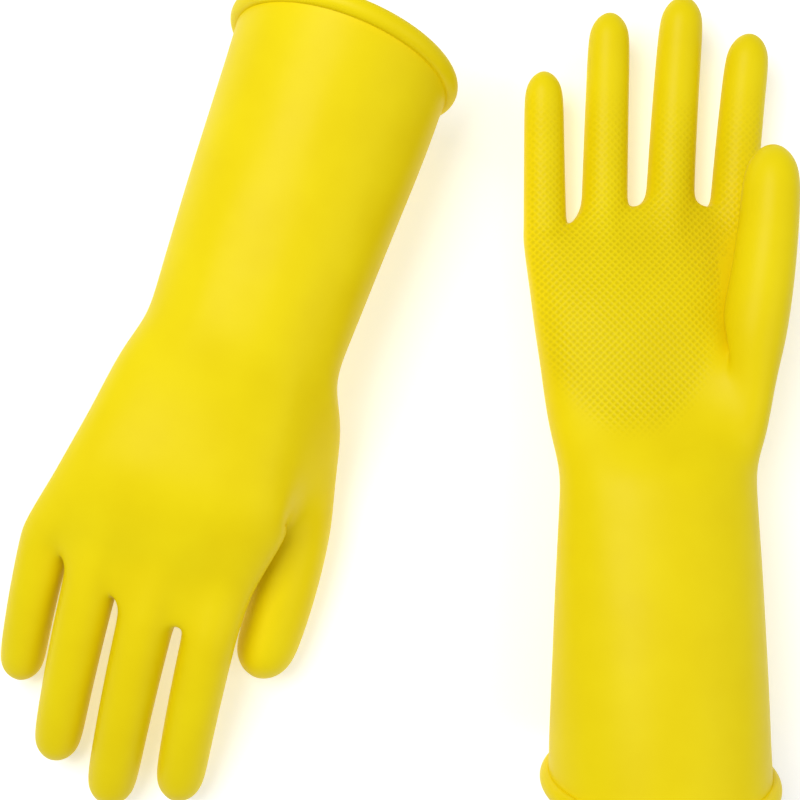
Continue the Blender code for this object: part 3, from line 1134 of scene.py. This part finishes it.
    def even_shading(self, obj: bpy.types.Object) -> None:
        """Shades a piece as part of the whole sheet, so that no seam shows where pieces meet."""
        data = obj.data
        outward = np.zeros(len(data.vertices) * 3, np.float32)
        data.attributes["outward"].data.foreach_get("vector", outward)
        outward = outward.reshape(-1, 3)
        corners = np.zeros(len(data.loops), np.int32)
        data.loops.foreach_get("vertex_index", corners)
        sizes = np.zeros(len(data.polygons), np.int32)
        data.polygons.foreach_get("loop_total", sizes)
        flat = np.zeros(len(data.polygons) * 3, np.float32)
        data.polygons.foreach_get("normal", flat)
        flat = np.repeat(flat.reshape(-1, 3), sizes, axis=0)
        smooth_rows = outward[corners]
        agree = (flat * smooth_rows).sum(axis=1)
        outside = (agree > SIDE_LIMIT)[:, None]
        inside = (agree < -SIDE_LIMIT)[:, None]
        rows = np.where(outside, smooth_rows, np.where(inside, -smooth_rows, flat))
        data.normals_split_custom_set([tuple(row) for row in rows])
        data.attributes.remove(data.attributes["outward"])

    def lay_bead(self) -> bpy.types.Object:
        """Makes the rolled cuff edge and lays it on the table."""
        bead = CuffBead(
            self.name + "_rolled_edge", self.layout.gauntlet_ring(0.0), material=self.bead_rubber
        )
        obj = bead.build()
        obj.data.transform(self.place)
        return obj

    def bend_zone(self, finger: Finger, low: float, high: float) -> dict[str, Vector]:
        """The two ends of a bend along a stall, on the table."""
        start = self.layout.stall_frame(finger, low)[0]
        end = self.layout.stall_frame(finger, high)[0]
        return {"start": self.on_table(start), "end": self.on_table(end)}

    def build(self) -> None:
        """Builds every piece of the glove and hands the sleeve and the rolled edge to the
        gauntlet's body.
        """
        name = self.name
        film = self.draw_sheet()
        smooth(film, SMOOTHING_LEVELS)
        self.soften(film)

        sleeve = self.cut_piece(film, name + "_sleeve", ("gauntlet",))
        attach(sleeve, name + "_gauntlet")
        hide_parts(name + "_gauntlet")
        log.info("%s: sleeve", name)

        palm = self.cut_piece(film, name + "_palm_and_back", ("hand",))
        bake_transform(palm)
        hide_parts(name + "_hand")
        log.info("%s: palm and back", name)

        for finger in Finger:
            stall = STALLS[finger]
            node = f"{name}_{finger.value}"
            middle = (stall.base_bend + stall.tip_bend) / 2.0
            base = self.cut_piece(film, node + "_lower_stall", (finger.value + "_base",))
            zone = self.bend_zone(finger, 3.0, middle - 1.5)
            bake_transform(base)
            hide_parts(node + "_base")
            tip = self.cut_piece(film, node + "_upper_stall", (finger.value + "_tip",))
            zone = self.bend_zone(finger, middle + 1.5, 2.0 * stall.tip_bend - middle)
            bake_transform(tip)
            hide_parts(node + "_tip")
            log.info("%s: %s stall", name, finger.value)

        bead = self.lay_bead()
        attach(bead, name + "_gauntlet")
        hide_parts(name + "_cuff_bead")
        log.info("%s: rolled edge", name)
        bpy.data.objects.remove(film)


@dataclass(frozen=True)
class Lamp:
    """A square soft lamp: its name, its place and side in metres, and its power in watts."""

    name: str
    place: tuple[float, float, float]
    side: float
    power: float

    def hang(self) -> None:
        """Hangs the lamp so that it looks at the gloves."""
        data = bpy.data.lights.new(self.name, "AREA")
        data.shape = "SQUARE"
        data.size = self.side
        data.energy = self.power
        lamp = bpy.data.objects.new(self.name, data)
        bpy.context.scene.collection.objects.link(lamp)
        lamp.location = self.place
        lamp.rotation_euler = (-Vector(self.place)).to_track_quat("-Z", "Y").to_euler()


@dataclass(frozen=True)
class Studio:
    """A pale table under broad, soft lamps, with a camera straight above."""

    view_centre: tuple[float, float] = (4.5, 1.5)
    view_height: float = 36.0
    camera_reach: float = 536.0
    view_width: float = 298.5
    sensor_width: float = 36.0
    room_strength: float = 0.33
    table_side: float = 6.0
    table_drop: float = 0.0004
    table_glow: float = 0.35
    glow_colour: Colour = (1.0, 1.0, 0.98)
    lamps: tuple[Lamp, ...] = (
        Lamp("key_lamp", (-0.35, 0.25, 0.95), 0.55, 6.6),
        Lamp("fill_lamp", (0.75, -0.35, 0.9), 0.9, 3.0),
    )
    table_colour: Colour = (0.93, 0.93, 0.92)

    def lay_table(self) -> None:
        """Adds the table top."""
        clear_selection()
        place = (0.0, 0.0, -self.table_drop)
        bpy.ops.mesh.primitive_plane_add(size=self.table_side, location=place)
        table = bpy.context.object
        table.name = "table_top"
        board = NodeBoard("pale_table")
        board.shader.inputs["Base Color"].default_value = (*self.table_colour, 1.0)
        board.shader.inputs["Roughness"].default_value = 0.9
        board.shader.inputs["Specular IOR Level"].default_value = 0.1
        board.shader.inputs["Emission Color"].default_value = (*self.glow_colour, 1.0)
        board.shader.inputs["Emission Strength"].default_value = self.table_glow
        table.data.materials.append(board.material)

    def hang_camera(self) -> None:
        """Hangs the camera and makes it the scene's."""
        data = bpy.data.cameras.new("camera")
        data.sensor_width = self.sensor_width
        data.lens = data.sensor_width * self.camera_reach / self.view_width
        camera = bpy.data.objects.new("camera", data)
        bpy.context.scene.collection.objects.link(camera)
        height = self.view_height + self.camera_reach
        camera.location = Vector((*self.view_centre, height)) * MM
        bpy.context.scene.camera = camera

    def light_room(self) -> None:
        """Sets the light that comes from all around."""
        world = bpy.data.worlds.new("room")
        world.use_nodes = True
        background = world.node_tree.nodes["Background"]
        background.inputs["Color"].default_value = (1.0, 1.0, 1.0, 1.0)
        background.inputs["Strength"].default_value = self.room_strength
        bpy.context.scene.world = world

    def show_true_colours(self) -> None:
        """Shows the rubber's strong yellow as it is, without a film look."""
        bpy.context.scene.view_settings.view_transform = "Standard"

    def build(self) -> None:
        """Sets up the whole studio."""
        self.show_true_colours()
        self.lay_table()
        self.light_room()
        for lamp in self.lamps:
            lamp.hang()
        self.hang_camera()


def main() -> None:
    """Builds both gloves and the studio."""
    logging.basicConfig(level=logging.INFO)
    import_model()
    rubber = rubber_material(RubberFinish())
    bead_rubber = rubber_material(RubberFinish(name="rolled_rubber", slot="bead", grip=None))
    lining = lining_material(LiningFinish())
    Glove("palm_up", PALM_UP, rubber, bead_rubber, lining).build()
    Glove("palm_down", PALM_DOWN, rubber, bead_rubber, lining, wrinkle=0.5).build()
    Studio().build()


if __name__ == "__main__":
    main()
